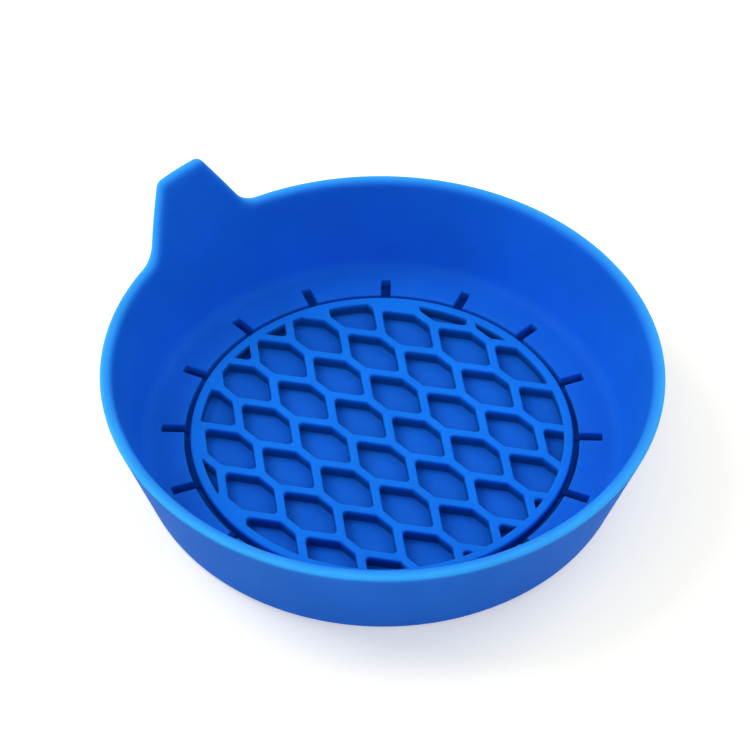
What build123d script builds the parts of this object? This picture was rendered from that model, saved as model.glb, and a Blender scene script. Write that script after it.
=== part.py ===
"""Cup-holder coaster: a soft silicone dish with a pull tab, and a lift-out drain grid.

Frame: +Z up, origin at the centre of the flat underside, pull tab towards +Y.
All lengths are millimetres.
"""
from build123d import *

import os
from math import hypot

# ---- driving dimensions: dish -------------------------------------------------
rim_radius = 40.2          # outside of the wall at the rim, before the edge is rounded
rim_height = 16.8          # top of the wall above the underside
rim_thickness = 1.8        # wall thickness at the rim
edge_round = 0.6           # rounding of the edges along the rim and the tab
base_radius = 34.9         # outside of the wall where it meets the underside
base_fillet = 1.8          # rounding between the wall and the underside
floor_height = 2.4         # top of the flat floor band around the well
floor_radius = 34.6        # inside of the wall where it meets the floor
floor_fillet = 2.2         # rounding between the floor and the wall

# ---- driving dimensions: pull tab ---------------------------------------------
tab_rise = 9.6             # how far the tab stands above the rim, on the slope of the wall
tab_thickness = 1.8        # thickness at its top
tab_top_half_width = 3.8   # half width at the top, before its corners are rounded
tab_foot_half_width = 9.5  # half width at the rim, before it runs out into the rim
tab_corner_radius = 1.3    # rounding of the two top corners
tab_blend_radius = 3.8     # rounding where the sides run out into the rim

# ---- driving dimensions: well and drain slots ---------------------------------
well_radius = 28.7         # round recess that the grid drops into
well_depth = 1.4           # its depth below the floor band
slot_count = 16            # blind drain slots that lead into the well
slot_depth = 1.9           # deeper than the well, so that they drain it
slot_end_radius = 32.1     # their outer ends
slot_width = 1.45
pattern_turn = -1.2        # degrees that the slots and the grid stand off the tab's direction

# ---- driving dimensions: grid -------------------------------------------------
ring_outer_radius = 27.8
ring_inner_radius = 26.45
grid_height = 1.85         # ring and ribs, from the bottom of the well
rib_width = 1.25
cell_half_width = 3.57     # half the pitch of the cells across the tab direction
row_pitch = 8.46           # pitch of the rows of cells along the tab direction
cell_side = 3.52           # length of the straight rib between neighbouring cells
cell_corner_radius = 0.6
pattern_x = 3.03           # lower end of one straight rib, which places the pattern
pattern_y = 2.22
narrowest_opening = 0.4    # a cell that the ring cuts down to less mean width is left solid
cell_rows = range(-4, 4)       # enough rows and columns of cells to fill the ring
cell_columns = range(-5, 5)

# ---- derived ------------------------------------------------------------------
well_floor = floor_height - well_depth
tab_top = rim_height + tab_rise
tab_outer_radius = base_radius + (rim_radius - base_radius) * tab_top / rim_height
clear_of_dish = 2 * rim_radius
near = 0.01                # tolerance for picking edges and corners by their place


# ---- dish: one moulding, turned about Z to the height of the tab -----------------
with BuildPart() as dish:
    with BuildSketch(Plane.XZ) as wall_section:
        with BuildLine():
            Polyline(
                (0, 0),
                (base_radius, 0),
                (tab_outer_radius, tab_top),
                (tab_outer_radius - tab_thickness, tab_top),
                (rim_radius - rim_thickness, rim_height),
                (floor_radius, floor_height),
                (0, floor_height),
                close=True,
            )
        make_face()
        base_corner = wall_section.vertices().sort_by_distance((base_radius, 0))[0]
        fillet(base_corner, radius=base_fillet)
        floor_corner = wall_section.vertices().sort_by_distance((floor_radius, floor_height))[0]
        fillet(floor_corner, radius=floor_fillet)
    revolve(axis=Axis.Z)

    # the wall is cut down to the rim, on the tab's side all but the tab's outline
    with BuildSketch(Plane.XZ) as beside_tab:
        with Locations((0, tab_top)):
            Rectangle(2 * clear_of_dish, 2 * tab_rise)
        with BuildLine():
            Polyline(
                (-tab_foot_half_width, rim_height),
                (tab_foot_half_width, rim_height),
                (tab_top_half_width, tab_top),
                (-tab_top_half_width, tab_top),
                close=True,
            )
        make_face(mode=Mode.SUBTRACT)
        tab_feet = beside_tab.vertices().filter_by(
            lambda v: abs(v.Y - rim_height) < near and abs(v.X) < tab_foot_half_width + near
        )
        fillet(tab_feet, radius=tab_blend_radius)
        tab_corners = beside_tab.vertices().filter_by(lambda v: abs(v.Y - tab_top) < near)
        fillet(tab_corners, radius=tab_corner_radius)
    extrude(amount=-clear_of_dish, mode=Mode.SUBTRACT)
    with BuildSketch(Plane.XZ):
        with Locations((0, tab_top)):
            Rectangle(2 * clear_of_dish, 2 * tab_rise)
    extrude(amount=clear_of_dish, mode=Mode.SUBTRACT)

    # the rim and the outline of the tab are rounded together, inside and outside
    top_edges = dish.edges().filter_by(lambda e: e.bounding_box().min.Z > rim_height - near)
    fillet(top_edges, radius=edge_round)

    # round well for the grid
    with BuildSketch(Plane.XY.offset(floor_height)):
        Circle(well_radius)
    extrude(amount=-well_depth, mode=Mode.SUBTRACT)

    # blind drain slots, from the floor band into the well
    slot_reach = slot_end_radius - well_radius + slot_width
    with BuildSketch(Plane.XY.offset(floor_height)):
        with PolarLocations(slot_end_radius - slot_reach / 2, slot_count, 90 + pattern_turn):
            Rectangle(slot_reach, slot_width)
    extrude(amount=-slot_depth, mode=Mode.SUBTRACT)

dish.part.label = "dish"


# ---- one opening of the grid: a long six-sided cell inside its six ribs ----------
with BuildSketch() as cell:
    with BuildLine():
        Polyline(
            (0, 0),
            (0, cell_side),
            (cell_half_width, row_pitch),
            (2 * cell_half_width, cell_side),
            (2 * cell_half_width, 0),
            (cell_half_width, cell_side - row_pitch),
            close=True,
        )
    make_face()
    offset(amount=-rib_width / 2, kind=Kind.INTERSECTION)
    fillet(cell.vertices(), radius=cell_corner_radius)

# every second row is shifted across by half a cell
cell_places = []
for row in cell_rows:
    for column in cell_columns:
        x = pattern_x + (2 * column + row % 2) * cell_half_width
        y = pattern_y + row * row_pitch
        if hypot(x, y) < ring_inner_radius + row_pitch:
            cell_places.append((x, y))

with BuildSketch() as openings:
    with Locations(*cell_places):
        add(cell.sketch)
    Circle(ring_inner_radius, mode=Mode.INTERSECT)


def mean_width(face):
    """The area over the greatest distance between two corners."""
    corners = face.vertices()
    return face.area / max(a.distance_to(b) for a in corners for b in corners)


open_cells = openings.faces().filter_by(lambda f: mean_width(f) > narrowest_opening)


# ---- grid: ring and ribs in one flat piece, standing on the bottom of the well ---
with BuildPart() as grid:
    with BuildSketch(Plane.XY.offset(well_floor).rotated((0, 0, pattern_turn))):
        Circle(ring_outer_radius)
        add(open_cells, mode=Mode.SUBTRACT)
    extrude(amount=grid_height)

grid.part.label = "grid"


# ---- write one STEP for each piece ----------------------------------------------
os.makedirs("parts", exist_ok=True)
export_step(dish.part, "parts/dish.step")
export_step(grid.part, "parts/grid.step")

print("dish", dish.part.bounding_box(), "volume", round(dish.part.volume))
print("grid", grid.part.bounding_box(), "volume", round(grid.part.volume))
print("open cells", len(open_cells))
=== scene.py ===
"""Looks of the cup-holder coaster: a soft blue silicone dish with a pull tab, and its drain grid.

Lengths are millimetres, turned into metres where a mesh is made. +Z is up, the pull tab is
towards +Y, and the origin is the centre of the flat underside, as in the CAD frame.
"""

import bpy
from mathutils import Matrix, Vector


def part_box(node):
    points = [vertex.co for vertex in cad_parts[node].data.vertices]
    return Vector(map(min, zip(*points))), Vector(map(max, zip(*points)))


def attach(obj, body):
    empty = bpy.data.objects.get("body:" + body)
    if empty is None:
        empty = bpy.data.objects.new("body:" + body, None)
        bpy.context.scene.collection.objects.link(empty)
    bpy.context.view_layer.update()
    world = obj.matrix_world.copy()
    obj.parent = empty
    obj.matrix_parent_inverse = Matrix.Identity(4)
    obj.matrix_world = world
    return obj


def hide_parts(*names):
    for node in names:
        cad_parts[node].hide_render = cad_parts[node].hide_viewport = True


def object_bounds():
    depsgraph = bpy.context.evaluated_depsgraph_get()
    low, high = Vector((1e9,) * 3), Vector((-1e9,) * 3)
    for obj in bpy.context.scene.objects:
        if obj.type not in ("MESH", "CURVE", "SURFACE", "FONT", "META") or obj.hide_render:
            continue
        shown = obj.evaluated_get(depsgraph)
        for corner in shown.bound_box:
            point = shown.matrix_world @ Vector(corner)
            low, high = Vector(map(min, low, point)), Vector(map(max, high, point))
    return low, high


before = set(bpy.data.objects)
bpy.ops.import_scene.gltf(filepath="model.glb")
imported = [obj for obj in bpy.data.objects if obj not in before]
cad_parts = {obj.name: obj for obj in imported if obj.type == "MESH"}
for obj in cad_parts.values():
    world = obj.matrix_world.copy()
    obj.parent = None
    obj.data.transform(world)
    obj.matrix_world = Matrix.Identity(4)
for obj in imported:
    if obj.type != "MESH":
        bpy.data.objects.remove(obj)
cad_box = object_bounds()
dish_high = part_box("dish")[1]
grid_low, grid_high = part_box("grid")

from math import asin, atan, ceil, cos, hypot, pi, radians, sin, sqrt, tan

import bmesh
import bpy
from mathutils import Matrix, Vector
from mathutils.geometry import tessellate_polygon

MM = 0.001
SAME_POINT = 1e-4          # vertices closer than this are joined

# ---- dish ---------------------------------------------------------------------
RIM_RADIUS = 40.2          # outside of the wall at the rim, before the edge is rounded
RIM_HEIGHT = 16.8
RIM_THICKNESS = 1.8
EDGE_ROUND = 0.6           # rounding of the edges along the rim and the tab
BASE_RADIUS = 34.9         # outside of the wall where it meets the underside
BASE_FILLET = 1.8
FLOOR_HEIGHT = 2.4
FLOOR_RADIUS = 34.6        # inside of the wall where it meets the floor
FLOOR_FILLET = 2.2
MOULDED_EDGE = 0.14        # softening of the well's and the slots' edges

# ---- pull tab -----------------------------------------------------------------
TAB_TOP = dish_high.z / MM
TAB_TOP_HALF_WIDTH = 3.8   # before the corners are rounded
TAB_FOOT_HALF_WIDTH = 9.5  # at the rim, before the sides run out into it
TAB_CORNER_RADIUS = 1.3
TAB_BLEND_RADIUS = 3.8

# ---- well and drain slots -----------------------------------------------------
WELL_RADIUS = 28.7
WELL_FLOOR = grid_low.z / MM
SLOT_COUNT = 16
SLOT_DEPTH = 1.9
SLOT_END_RADIUS = 32.1
SLOT_WIDTH = 1.45
PATTERN_TURN = radians(-1.2)  # how far the slots and the grid stand off the tab's direction

# ---- grid ---------------------------------------------------------------------
RING_OUTER_RADIUS = (grid_high.x - grid_low.x) / 2 / MM
RING_INNER_RADIUS = 26.45
GRID_HEIGHT = (grid_high.z - grid_low.z) / MM
RIB_WIDTH = 1.25
RIB_ROUND = 0.28           # rounding of the ribs' top edges
GRID_FOOT_ROUND = 0.1      # rounding of their bottom edges
CELL_HALF_WIDTH = 3.57     # half the pitch of the cells across the tab's direction
ROW_PITCH = 8.46           # pitch of the rows of cells along the tab's direction
CELL_SIDE = 3.52           # length of the straight rib between neighbouring cells
CELL_CORNER_RADIUS = 0.6
CELL_ROWS = range(-4, 4)   # enough rows and columns of cells to fill the ring
CELL_COLUMNS = range(-5, 5)
PATTERN_X = 3.03           # lower end of one straight rib, which places the pattern
PATTERN_Y = 2.22
NARROWEST_OPENING = 0.4    # a cell that the ring cuts down to less mean width is left solid

# ---- painted glow and painted shade on the silicone ---------------------------
PAINTED_GLOW_DEPTH = 3.2      # how far from the outer top edge the painted glow still lightens the wall
OUTER_FADE = 2.2           # how much faster that fades down the outside than the inside
CELL_FLOOR_SHADE = 0.25   # how much painted shade the well's floor gets between the ribs, from 0 to 1

# ---- derived ------------------------------------------------------------------
TAB_RISE = TAB_TOP - RIM_HEIGHT
WELL_DEPTH = FLOOR_HEIGHT - WELL_FLOOR
SLOT_FLOOR = FLOOR_HEIGHT - SLOT_DEPTH
SLOT_START_RADIUS = WELL_RADIUS - SLOT_WIDTH
SLOT_PITCH = 2 * pi / SLOT_COUNT
WALL_SLOPE = (RIM_RADIUS - BASE_RADIUS) / RIM_HEIGHT
INNER_SLOPE = (RIM_RADIUS - RIM_THICKNESS - FLOOR_RADIUS) / (RIM_HEIGHT - FLOOR_HEIGHT)
TAB_SIDE_ANGLE = pi / 2 - atan((TAB_FOOT_HALF_WIDTH - TAB_TOP_HALF_WIDTH) / TAB_RISE)
OUTLINE_RADIUS = RIM_RADIUS + WALL_SLOPE * TAB_RISE / 2 - RIM_THICKNESS / 2


# =================================================================================
# dish mesh
# =================================================================================
def outer_radius(z):
    return BASE_RADIUS + WALL_SLOPE * z


def inner_radius(z):
    """The inner face: its own slope up to the rim, then the tab keeps the rim's thickness."""
    at_rim = RIM_RADIUS - RIM_THICKNESS
    slope = INNER_SLOPE if z < RIM_HEIGHT else WALL_SLOPE
    return at_rim + slope * (z - RIM_HEIGHT)


def top_height(angle):
    """Height of the wall's top edge at an angle, which is the rim or the tab's outline."""
    if sin(angle) < 0:
        return RIM_HEIGHT
    x = abs(OUTLINE_RADIUS * cos(angle))
    run = tan(TAB_SIDE_ANGLE / 2)
    foot_x = TAB_FOOT_HALF_WIDTH + TAB_BLEND_RADIUS * run
    foot_end = TAB_FOOT_HALF_WIDTH - TAB_BLEND_RADIUS * run * cos(TAB_SIDE_ANGLE)
    corner_x = TAB_TOP_HALF_WIDTH - TAB_CORNER_RADIUS * run
    corner_end = TAB_TOP_HALF_WIDTH + TAB_CORNER_RADIUS * run * cos(TAB_SIDE_ANGLE)
    if x >= foot_x:
        return RIM_HEIGHT
    if x > foot_end:
        drop = sqrt(max(TAB_BLEND_RADIUS ** 2 - (x - foot_x) ** 2, 0))
        return RIM_HEIGHT + TAB_BLEND_RADIUS - drop
    if x > corner_end:
        return RIM_HEIGHT + (TAB_FOOT_HALF_WIDTH - x) * tan(TAB_SIDE_ANGLE)
    if x > corner_x:
        rise = sqrt(max(TAB_CORNER_RADIUS ** 2 - (x - corner_x) ** 2, 0))
        return TAB_TOP - TAB_CORNER_RADIUS + rise
    return TAB_TOP


def edge_stretch(angle):
    """How much longer the top edge is than its run round the wall, where it climbs the tab."""
    step = radians(0.05)
    climb = (top_height(angle + step) - top_height(angle - step)) / (2 * step * OUTLINE_RADIUS)
    return hypot(1, climb)


class Column:
    """One line of the dish's mesh from the underside over the rim to the well, at one angle.

    A slot's columns stay parallel to it along its length, and the columns between two slots
    share the space that is left.
    """

    def __init__(self, sector, in_slot, share):
        self.start = pi / 2 + PATTERN_TURN + sector * SLOT_PITCH
        self.in_slot = in_slot
        self.share = share
        self.stretch = edge_stretch(self.angle(RIM_RADIUS))
        self.top = top_height(self.angle(RIM_RADIUS))

    def angle(self, radius):
        along = min(max(radius, SLOT_START_RADIUS), SLOT_END_RADIUS)
        if self.in_slot:
            return self.start + asin((self.share - 0.5) * SLOT_WIDTH / along)
        half = asin(SLOT_WIDTH / 2 / along)
        return self.start + half + self.share * (SLOT_PITCH - 2 * half)

    def point(self, radius, z):
        a = self.angle(radius)
        return Vector((radius * cos(a), radius * sin(a), z))


def make_columns(spacing=0.5, slot_columns=4, samples=200, rounding=1e-9):
    """Columns at even steps along the top edge between slots, with a few across each slot."""
    columns = []
    for sector in range(SLOT_COUNT):
        for i in range(slot_columns):
            columns.append(Column(sector, True, i / slot_columns))
        probe = [Column(sector, False, i / samples) for i in range(samples)]
        step = RIM_RADIUS * SLOT_PITCH / samples
        length = [0]
        for c in probe:
            length.append(length[-1] + step * c.stretch)
        count = ceil(length[-1] / spacing)
        for i in range(count):
            goal = length[-1] * i / count
            k = max(j for j in range(samples + 1) if length[j] <= goal + rounding)
            part = (goal - length[k]) / (length[k + 1] - length[k])
            columns.append(Column(sector, False, (k + part) / samples))
    return columns


def arc(centre_r, centre_z, radius, start, end, steps=6):
    """(radius, height) along a rounding, from one angle to another."""
    points = []
    for i in range(steps + 1):
        a = start + (end - start) * i / steps
        points.append((centre_r + radius * cos(a), centre_z + radius * sin(a)))
    return points


def straight(radius_at, start, end, steps=22):
    """(radius, height) along a straight face between two heights, without its ends."""
    heights = [start + (end - start) * i / steps for i in range(1, steps)]
    return [(radius_at(z), z) for z in heights]


def half_edge(radius_at, inward, low, depth, steps=5):
    """(radius, height) along one side of the rounded top edge, upward."""
    points = []
    for i in range(steps + 1):
        a = pi / 2 * i / steps
        z = low + depth * sin(a)
        points.append((radius_at(z) + inward * EDGE_ROUND * (1 - cos(a)), z))
    return points


def wall_rows(column, most_stretch=2):
    """(radius, height) from the underside's edge over the top and down to the floor band."""
    lean = atan(WALL_SLOPE)
    centre_r = outer_radius(BASE_FILLET) - BASE_FILLET / cos(lean)
    outer_foot = arc(centre_r, BASE_FILLET, BASE_FILLET, -pi / 2, -lean)

    lean = atan(INNER_SLOPE)
    centre_z = FLOOR_HEIGHT + FLOOR_FILLET
    centre_r = inner_radius(centre_z) - FLOOR_FILLET / cos(lean)
    inner_foot = arc(centre_r, centre_z, FLOOR_FILLET, -lean, -pi / 2)

    # the rounding reaches further down where the top edge climbs the tab
    depth = EDGE_ROUND * min(column.stretch, most_stretch)
    low = column.top - depth
    points = outer_foot
    points += straight(outer_radius, outer_foot[-1][1], low)
    points += half_edge(outer_radius, -1, low, depth)
    points += half_edge(inner_radius, 1, low, depth)[::-1]
    points += straight(inner_radius, low, inner_foot[0][1])
    points += inner_foot
    return points


def terrace(bm, columns, radii, height_of, painted_shade):
    """Level steps of the floor between rings of the given radii, with upright faces between.

    height_of(in_slot, k) is the height of the floor between ring k and ring k + 1. Every
    corner gets a vertex at each height that meets there, so that the steps join exactly.
    The painted shade layer grows with depth, but stays slight on the open floor inside the grid's
    ring.
    """
    count = len(columns)
    last = len(radii) - 1
    verts = {}

    def heights(i, k):
        beside = (columns[i - 1].in_slot, columns[i].in_slot)
        found = {height_of(s, n) for s in beside for n in (k - 1, k) if 0 <= n < last}
        return sorted(found)

    def vert(i, k, z):
        key = (i % count, k, z)
        if key not in verts:
            c = columns[i % count]
            verts[key] = bm.verts.new(c.point(radii[k], z))
            if radii[k] > RING_INNER_RADIUS:
                verts[key][painted_shade] = (FLOOR_HEIGHT - z) / WELL_DEPTH
            else:
                verts[key][painted_shade] = CELL_FLOOR_SHADE
        return verts[key]

    def riser(a, b, low, high):
        """The upright face over one edge of the plan, from one height to another."""
        up = [vert(*a, z) for z in heights(a[0] % count, a[1]) if low <= z <= high]
        down = [vert(*b, z) for z in heights(b[0] % count, b[1]) if low <= z <= high]
        bm.faces.new(up + down[::-1])

    for i in range(count):
        slot = columns[i].in_slot
        before = columns[i - 1].in_slot
        for k in range(last):
            z = height_of(slot, k)
            corners = [(i, k), (i, k + 1), (i + 1, k + 1), (i + 1, k)]
            bm.faces.new([vert(*corner, z) for corner in corners])
            if k + 1 < last and height_of(slot, k + 1) != z:
                low, high = sorted((z, height_of(slot, k + 1)))
                riser((i, k + 1), (i + 1, k + 1), low, high)
            if height_of(before, k) != z:
                low, high = sorted((z, height_of(before, k)))
                riser((i, k), (i, k + 1), low, high)
    return verts


def painted_rim_glow(column, radius, z):
    """Painted glow of light through the thin rim: 1 at the outer top edge, fading to 0 down both
    sides of the wall.
    """
    inward = outer_radius(z) - radius
    fade = OUTER_FADE - (OUTER_FADE - 1) * min(1, inward / RIM_THICKNESS)
    from_edge = inward + fade * (column.top - z) / column.stretch
    return max(0, 1 - from_edge / PAINTED_GLOW_DEPTH)


def make_wall(bm, columns, light):
    """The underside and the wall, from the underside's edge over the top to the floor band."""
    rings = []
    for c in columns:
        ring = []
        for radius, z in wall_rows(c):
            v = bm.verts.new(c.point(radius, z))
            v[light] = painted_rim_glow(c, radius, z)
            ring.append(v)
        rings.append(ring)
    for i, b in enumerate(rings):
        a = rings[i - 1]
        for k in range(len(a) - 1):
            bm.faces.new([a[k], b[k], b[k + 1], a[k + 1]])
    bm.faces.new([ring[0] for ring in rings][::-1])


def make_dish_floor(bm, columns, painted_shade, slot_steps=4):
    """The floor band, the slots and the well."""
    radii = [wall_rows(columns[0])[-1][0]]
    for k in range(slot_steps + 1):
        radii.append(SLOT_END_RADIUS + (WELL_RADIUS - SLOT_END_RADIUS) * k / slot_steps)
    radii += [SLOT_START_RADIUS, SLOT_START_RADIUS - 1]

    def height_of(in_slot, k):
        middle = (radii[k] + radii[k + 1]) / 2
        if middle > SLOT_END_RADIUS:
            return FLOOR_HEIGHT
        if in_slot and middle > SLOT_START_RADIUS:
            return SLOT_FLOOR
        return FLOOR_HEIGHT if middle > WELL_RADIUS else WELL_FLOOR

    verts = terrace(bm, columns, radii, height_of, painted_shade)
    bm.faces.new([verts[(i, len(radii) - 1, WELL_FLOOR)] for i in range(len(columns))])


def make_dish():
    columns = make_columns()
    bm = bmesh.new()
    # how much painted glow of light through the thin rim each vertex gets
    light = bm.verts.layers.float.new("painted_rim_glow")
    # how much painted shade each vertex gets down in the slots, the gap and the well
    painted_shade = bm.verts.layers.float.new("painted_shade")
    make_wall(bm, columns, light)
    make_dish_floor(bm, columns, painted_shade)
    bmesh.ops.remove_doubles(bm, verts=bm.verts, dist=SAME_POINT)
    bmesh.ops.recalc_face_normals(bm, faces=bm.faces)
    return finish_mesh("dish_silicone_body", bm)


# =================================================================================
# grid mesh
# =================================================================================
def clip(polygon, normal, reach):
    """The part of a convex polygon with point . normal <= reach."""
    kept = []
    for i, b in enumerate(polygon):
        a = polygon[i - 1]
        da = a.dot(normal) - reach
        db = b.dot(normal) - reach
        if (da < 0) != (db < 0):
            kept.append(a + (b - a) * (da / (da - db)))
        if db <= 0:
            kept.append(b)
    return kept


def area(polygon):
    """The area of a polygon whose corners run anticlockwise."""
    return sum(polygon[i - 1].cross(p) for i, p in enumerate(polygon)) / 2


def mean_width(polygon):
    """The area over the greatest distance between two corners."""
    if not polygon:
        return 0
    return area(polygon) / max((a - b).length for a in polygon for b in polygon)


def drop_close(polygon, least=0.03):
    """The polygon without corners that stand closer together than least."""
    kept = [p for i, p in enumerate(polygon) if (p - polygon[i - 1]).length > least]
    return kept if len(kept) > 2 else []


def rounded_cell(x, y, longest_turn=radians(15)):
    """The hexagon between the faces of six ribs, with its corners rounded."""
    corners = [
        Vector((0, 0)),
        Vector((CELL_HALF_WIDTH, CELL_SIDE - ROW_PITCH)),
        Vector((2 * CELL_HALF_WIDTH, 0)),
        Vector((2 * CELL_HALF_WIDTH, CELL_SIDE)),
        Vector((CELL_HALF_WIDTH, ROW_PITCH)),
        Vector((0, CELL_SIDE)),
    ]
    corners = [c + Vector((x, y)) for c in corners]
    core = list(corners)
    for i, b in enumerate(corners):
        along = (b - corners[i - 1]).normalized()
        normal = Vector((along.y, -along.x))
        core = clip(core, normal, b.dot(normal) - RIB_WIDTH / 2 - CELL_CORNER_RADIUS)
    rounded = []
    for i, p in enumerate(core):
        before = (p - core[i - 1]).normalized()
        after = (core[(i + 1) % len(core)] - p).normalized()
        turn = before.angle(after)
        steps = ceil(turn / longest_turn)
        normal = Vector((before.y, -before.x))
        for k in range(steps + 1):
            spin = Matrix.Rotation(turn * k / steps, 2)
            rounded.append(p + (spin @ normal) * CELL_CORNER_RADIUS)
    return rounded


def cut_by_ring(polygon, steps=240):
    """The part of a convex polygon inside the ring, sharp where the ring cuts it."""
    for i in range(steps):
        a = 2 * pi * i / steps
        polygon = clip(polygon, Vector((cos(a), sin(a))), RING_INNER_RADIUS)
    return drop_close(polygon)


def grow(polygon, distance, longest_mitre=1.6):
    """The outline of a convex polygon moved outward, with sharp corners cut short."""
    moved = []
    for i, p in enumerate(polygon):
        before = (p - polygon[i - 1]).normalized()
        after = (polygon[(i + 1) % len(polygon)] - p).normalized()
        across = Vector((before.y + after.y, -before.x - after.x)).normalized()
        mitre = 1 / max(across.dot(Vector((before.y, -before.x))), 1 / longest_mitre)
        moved.append(p + across * distance * mitre)
    return moved


def circle(radius, steps=300):
    angles = [2 * pi * i / steps for i in range(steps)]
    return [Vector((radius * cos(a), radius * sin(a))) for a in angles]


def side_levels(steps=4):
    """(how far an edge is drawn back into the rib, height) from the top face to the bottom."""
    levels = []
    for i in range(steps + 1):
        a = pi / 2 * i / steps
        levels.append((RIB_ROUND * (1 - sin(a)), GRID_HEIGHT - RIB_ROUND * (1 - cos(a))))
    levels.append((0, GRID_HEIGHT / 2))
    for i in range(steps + 1):
        a = pi / 2 * i / steps
        levels.append((GRID_FOOT_ROUND * (1 - cos(a)), GRID_FOOT_ROUND * (1 - sin(a))))
    return levels


def open_cells():
    """Cells in shifted rows, cut by the ring, without those that are left too narrow."""
    cells = []
    for row in CELL_ROWS:
        for column in CELL_COLUMNS:
            x = PATTERN_X + (2 * column + row % 2) * CELL_HALF_WIDTH
            y = PATTERN_Y + row * ROW_PITCH
            cell = cut_by_ring(rounded_cell(x, y))
            if mean_width(cell) > NARROWEST_OPENING:
                cells.append(cell)
    return cells


def make_side(bm, outline, painted_shade):
    """The upright face round one outline, as rows of vertices from the top to the bottom.

    The painted shade layer grows from the top down to half the grid's height.
    """
    rows = []
    for loop, z in outline:
        row = [bm.verts.new((p.x, p.y, z)) for p in loop]
        for v in row:
            v[painted_shade] = min(1, 2 * (1 - z / GRID_HEIGHT))
        rows.append(row)
    for upper, lower in zip(rows, rows[1:]):
        for i in range(len(upper)):
            bm.faces.new([upper[i - 1], upper[i], lower[i], lower[i - 1]])
    return rows


def make_level_face(bm, loops):
    """A level face inside the first loop, with the other loops as its holes."""
    verts = [v for loop in loops for v in loop]
    for triangle in tessellate_polygon([[v.co for v in loop] for loop in loops]):
        bm.faces.new([verts[i] for i in triangle])


def make_grid():
    levels = side_levels()
    outlines = [[(circle(RING_OUTER_RADIUS - back), z) for back, z in levels]]
    for cell in open_cells():
        outlines.append([(grow(cell, back), z) for back, z in levels])

    bm = bmesh.new()
    painted_shade = bm.verts.layers.float.new("painted_shade")
    sides = [make_side(bm, outline, painted_shade) for outline in outlines]
    make_level_face(bm, [rows[0] for rows in sides])
    make_level_face(bm, [rows[-1] for rows in sides])

    turn = Matrix.Rotation(PATTERN_TURN, 4, "Z")
    lift = Matrix.Translation((0, 0, WELL_FLOOR))
    bmesh.ops.transform(bm, matrix=lift @ turn, verts=bm.verts)
    bmesh.ops.recalc_face_normals(bm, faces=bm.faces)
    return finish_mesh("grid_silicone_web", bm)


def finish_mesh(name, bm):
    """A mesh in millimetres becomes a smooth-shaded object in metres."""
    bmesh.ops.scale(bm, vec=(MM, MM, MM), verts=bm.verts)
    mesh = bpy.data.meshes.new(name)
    bm.to_mesh(mesh)
    bm.free()
    mesh.shade_smooth()
    piece = bpy.data.objects.new(name, mesh)
    bpy.context.scene.collection.objects.link(piece)
    return piece


def soften_edges(piece, width, sharper_than=radians(50)):
    bevel = piece.modifiers.new("moulded_edges", "BEVEL")
    bevel.width = width * MM
    bevel.segments = 2
    bevel.limit_method = "ANGLE"
    bevel.angle_limit = sharper_than


def keep_flats_flat(piece, weight=80):
    """Shades flat faces as flat, and lets the small rounded ones beside them turn the light."""
    normals = piece.modifiers.new("flat_faces", "WEIGHTED_NORMAL")
    normals.weight = weight


# =================================================================================
# materials
# =================================================================================
def noise(tree, where, scale, detail, roughness):
    n = tree.nodes.new("ShaderNodeTexNoise")
    n.inputs["Scale"].default_value = scale
    n.inputs["Detail"].default_value = detail
    n.inputs["Roughness"].default_value = roughness
    tree.links.new(where, n.inputs["Vector"])
    return n.outputs["Fac"]


def ramp(tree, value, low, high, start=0, end=1):
    """Low to high, as the value goes from start to end, and held there beyond them."""
    n = tree.nodes.new("ShaderNodeMapRange")
    n.inputs["From Min"].default_value = start
    n.inputs["From Max"].default_value = end
    n.inputs["To Min"].default_value = low
    n.inputs["To Max"].default_value = high
    tree.links.new(value, n.inputs["Value"])
    return n.outputs["Result"]


def attribute(tree, name):
    n = tree.nodes.new("ShaderNodeAttribute")
    n.attribute_name = name
    return n.outputs["Fac"]


def multiply(tree, a, b):
    product = tree.nodes.new("ShaderNodeMath")
    product.operation = "MULTIPLY"
    tree.links.new(a, product.inputs[0])
    tree.links.new(b, product.inputs[1])
    return product.outputs[0]


def painted_edge_glow(tree, base, light, falloff=1.8):
    """The base colour, going over to the light one towards the thin top edge, as a painted glow
    of light through the thin rim.
    """
    curve = tree.nodes.new("ShaderNodeMath")
    curve.operation = "POWER"
    curve.inputs[1].default_value = falloff
    tree.links.new(attribute(tree, "painted_rim_glow"), curve.inputs[0])
    tint = tree.nodes.new("ShaderNodeMix")
    tint.data_type = "RGBA"
    tint.inputs["A"].default_value = (*base, 1)
    tint.inputs["B"].default_value = (*light, 1)
    tree.links.new(curve.outputs[0], tint.inputs["Factor"])
    return tint.outputs["Result"]


def painted_lean_shade(tree, normal):
    """Painted shade: faces that lean out over the white floor are toned down against its strong
    light.
    """
    facing = tree.nodes.new("ShaderNodeSeparateXYZ")
    tree.links.new(normal, facing.inputs["Vector"])
    return ramp(tree, facing.outputs["Z"], 0.7, 1, start=-0.35, end=0.1)


def satin_surface(tree, shader, where):
    """A fine moulded grain, with patches that are a little smoother."""
    patches = noise(tree, where, scale=150, detail=4, roughness=0.6)
    tree.links.new(ramp(tree, patches, 0.5, 0.62), shader.inputs["Roughness"])
    grain = noise(tree, where, scale=2600, detail=2, roughness=0.6)
    bump = tree.nodes.new("ShaderNodeBump")
    bump.inputs["Strength"].default_value = 0.25
    bump.inputs["Distance"].default_value = 0.03 * MM
    tree.links.new(grain, bump.inputs["Height"])
    tree.links.new(bump.outputs["Normal"], shader.inputs["Normal"])


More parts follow.
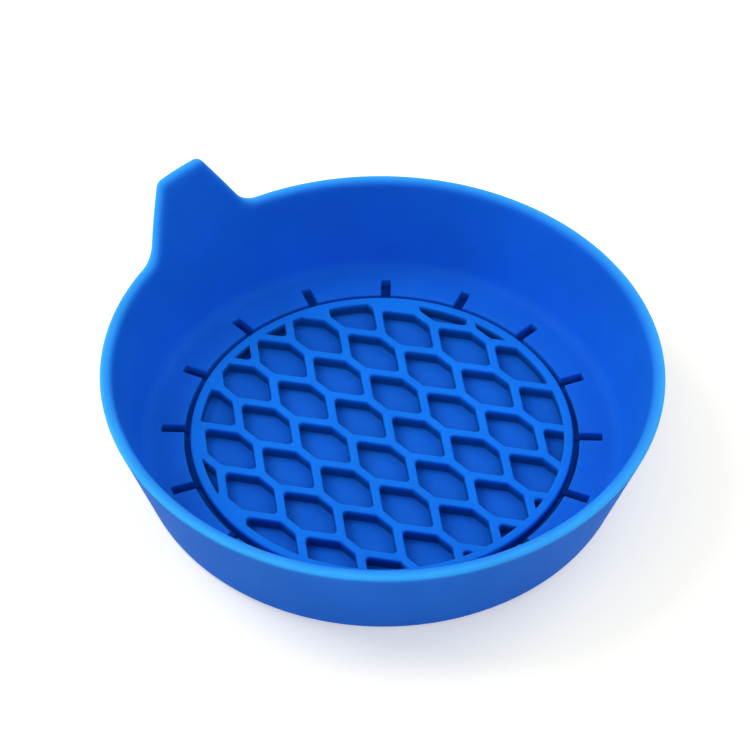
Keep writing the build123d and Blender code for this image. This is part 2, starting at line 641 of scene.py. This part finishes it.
def silicone(name, base, light, hollow_shade):
    """Soft satin silicone: light spreads inside it, a painted glow makes a thin edge lighter and
    greener, and painted shade darkens its hollows and leaning faces.
    """
    material = bpy.data.materials.new(name)
    material.use_nodes = True
    tree = material.node_tree
    shader = tree.nodes["Principled BSDF"]
    place = tree.nodes.new("ShaderNodeTexCoord").outputs

    # cloudy pigment, painted shade down in the slots and gaps, and painted shade on leaning faces
    cloud = noise(tree, place["Object"], scale=90, detail=3, roughness=0.55)
    cloud_tone = ramp(tree, cloud, 0.94, 1.06, start=0.3, end=0.7)
    painted_depth_shade = ramp(tree, attribute(tree, "painted_shade"), 1, hollow_shade)
    pigment_and_painted_shade = multiply(tree, cloud_tone, painted_depth_shade)
    pigment_and_painted_shade = multiply(tree, pigment_and_painted_shade, painted_lean_shade(tree, place["Normal"]))

    colour = tree.nodes.new("ShaderNodeVectorMath")
    colour.operation = "SCALE"
    tree.links.new(painted_edge_glow(tree, base, light), colour.inputs[0])
    tree.links.new(pigment_and_painted_shade, colour.inputs["Scale"])
    tree.links.new(colour.outputs["Vector"], shader.inputs["Base Color"])

    satin_surface(tree, shader, place["Object"])
    shader.inputs["Specular IOR Level"].default_value = 0.04
    shader.inputs["IOR"].default_value = 1.41
    shader.inputs["Subsurface Weight"].default_value = 0.5
    shader.inputs["Subsurface Radius"].default_value = (0.15, 0.5, 1.0)
    shader.inputs["Subsurface Scale"].default_value = 1.6 * MM
    return material


def pale_floor():
    """A pale floor that is clear from below, so that the underside can be looked at."""
    material = bpy.data.materials.new("pale_floor")
    material.use_nodes = True
    tree = material.node_tree
    shader = tree.nodes["Principled BSDF"]
    shader.inputs["Base Color"].default_value = (0.90, 0.89, 0.78, 1)
    shader.inputs["Emission Color"].default_value = (1, 1, 1, 1)
    shader.inputs["Emission Strength"].default_value = 0.33
    shader.inputs["Roughness"].default_value = 0.9
    shader.inputs["Specular IOR Level"].default_value = 0.0

    side = tree.nodes.new("ShaderNodeNewGeometry")
    clear = tree.nodes.new("ShaderNodeBsdfTransparent")
    choice = tree.nodes.new("ShaderNodeMixShader")
    tree.links.new(side.outputs["Backfacing"], choice.inputs["Fac"])
    tree.links.new(shader.outputs["BSDF"], choice.inputs[1])
    tree.links.new(clear.outputs["BSDF"], choice.inputs[2])
    tree.links.new(choice.outputs["Shader"], tree.nodes["Material Output"].inputs["Surface"])
    return material


# =================================================================================
# stage: camera, light and floor
# =================================================================================
CAMERA_AZIMUTH = radians(-45.5)    # 0 looks along +Y
CAMERA_ELEVATION = radians(46.75)
CAMERA_DISTANCE = 412 * MM         # from the middle of the floor
CAMERA_ROLL = radians(0.5)
CAMERA_LENS = 136
FLOOR_PLANE_SIZE = 6000 * MM
FLOOR_PLANE_DROP = 0.05 * MM       # just under the dish, so that the two faces don't coincide


def camera_axes():
    """Level unit vectors to the right of the view and away from the camera."""
    away = Vector((-sin(CAMERA_AZIMUTH), cos(CAMERA_AZIMUTH), 0))
    right = Vector((away.y, -away.x, 0))
    return right, away


def make_camera():
    away = camera_axes()[1]
    centre = (cad_box[0] + cad_box[1]) / 2
    floor_middle = Vector((0, 0, FLOOR_HEIGHT * MM))
    back = Vector((0, 0, sin(CAMERA_ELEVATION))) - away * cos(CAMERA_ELEVATION)
    camera = bpy.data.objects.new("camera", bpy.data.cameras.new("camera"))
    camera.data.lens = CAMERA_LENS
    camera.data.clip_start = 0.01
    camera.location = floor_middle + back * CAMERA_DISTANCE
    aim = (centre - camera.location).to_track_quat("-Z", "Y")
    camera.rotation_mode = "QUATERNION"
    camera.rotation_quaternion = aim @ Matrix.Rotation(CAMERA_ROLL, 4, "Z").to_quaternion()
    bpy.context.scene.collection.objects.link(camera)
    bpy.context.scene.camera = camera


def area_light(name, right_mm, away_mm, up_mm, size_mm, watts):
    """A square soft box aimed at the object, placed as the camera sees it."""
    right, away = camera_axes()
    data = bpy.data.lights.new(name, "AREA")
    data.size = size_mm * MM
    data.energy = watts
    lamp = bpy.data.objects.new(name, data)
    lamp.location = (right * right_mm + away * away_mm + Vector((0, 0, up_mm))) * MM
    lamp.rotation_mode = "QUATERNION"
    lamp.rotation_quaternion = (-lamp.location).to_track_quat("-Z", "Y")
    bpy.context.scene.collection.objects.link(lamp)


def make_lights():
    """Even light from all round, with the strongest soft box on the left."""
    world = bpy.data.worlds.new("studio")
    world.use_nodes = True
    background = world.node_tree.nodes["Background"]
    background.inputs["Color"].default_value = (1, 1, 1, 1)
    background.inputs["Strength"].default_value = 0.56
    bpy.context.scene.world = world
    bpy.context.scene.view_settings.view_transform = "Standard"
    area_light("left", right_mm=-440, away_mm=130, up_mm=460, size_mm=340, watts=2.1)
    area_light("right", right_mm=380, away_mm=200, up_mm=520, size_mm=380, watts=0.9)
    area_light("front", right_mm=0, away_mm=-480, up_mm=330, size_mm=260, watts=0.5)


def make_floor():
    half = FLOOR_PLANE_SIZE / 2
    corners = [(-half, -half), (half, -half), (half, half), (-half, half)]
    mesh = bpy.data.meshes.new("floor")
    mesh.from_pydata([(x, y, -FLOOR_PLANE_DROP) for x, y in corners], [], [range(4)])
    floor = bpy.data.objects.new("floor", mesh)
    floor.data.materials.append(pale_floor())
    bpy.context.scene.collection.objects.link(floor)


# =================================================================================
# the object
# =================================================================================
DISH_BLUE = (0.007, 0.135, 0.70)
# the grid's own blue, made lighter than the dish's as a painted glow of light through its thin
# ribs
GRID_BLUE = (0.006, 0.18, 0.79)
# painted glow: the lighter, greener blue that the thin top edge goes over to
PAINTED_GLOW_BLUE = (0.05, 0.47, 1.0)
DISH_HOLLOW_SHADE = 0.6    # share of the colour left under the painted shade deep in the slots and the gap
GRID_HOLLOW_SHADE = 0.4    # and low on the sides of the ribs

dish = make_dish()
soften_edges(dish, MOULDED_EDGE)
keep_flats_flat(dish)
dish.data.materials.append(silicone("dish_silicone", DISH_BLUE, PAINTED_GLOW_BLUE, DISH_HOLLOW_SHADE))
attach(dish, "dish")
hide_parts("dish")

grid = make_grid()
keep_flats_flat(grid)
grid.data.materials.append(silicone("grid_silicone", GRID_BLUE, PAINTED_GLOW_BLUE, GRID_HOLLOW_SHADE))
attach(grid, "grid")
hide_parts("grid")

make_camera()
make_lights()
make_floor()
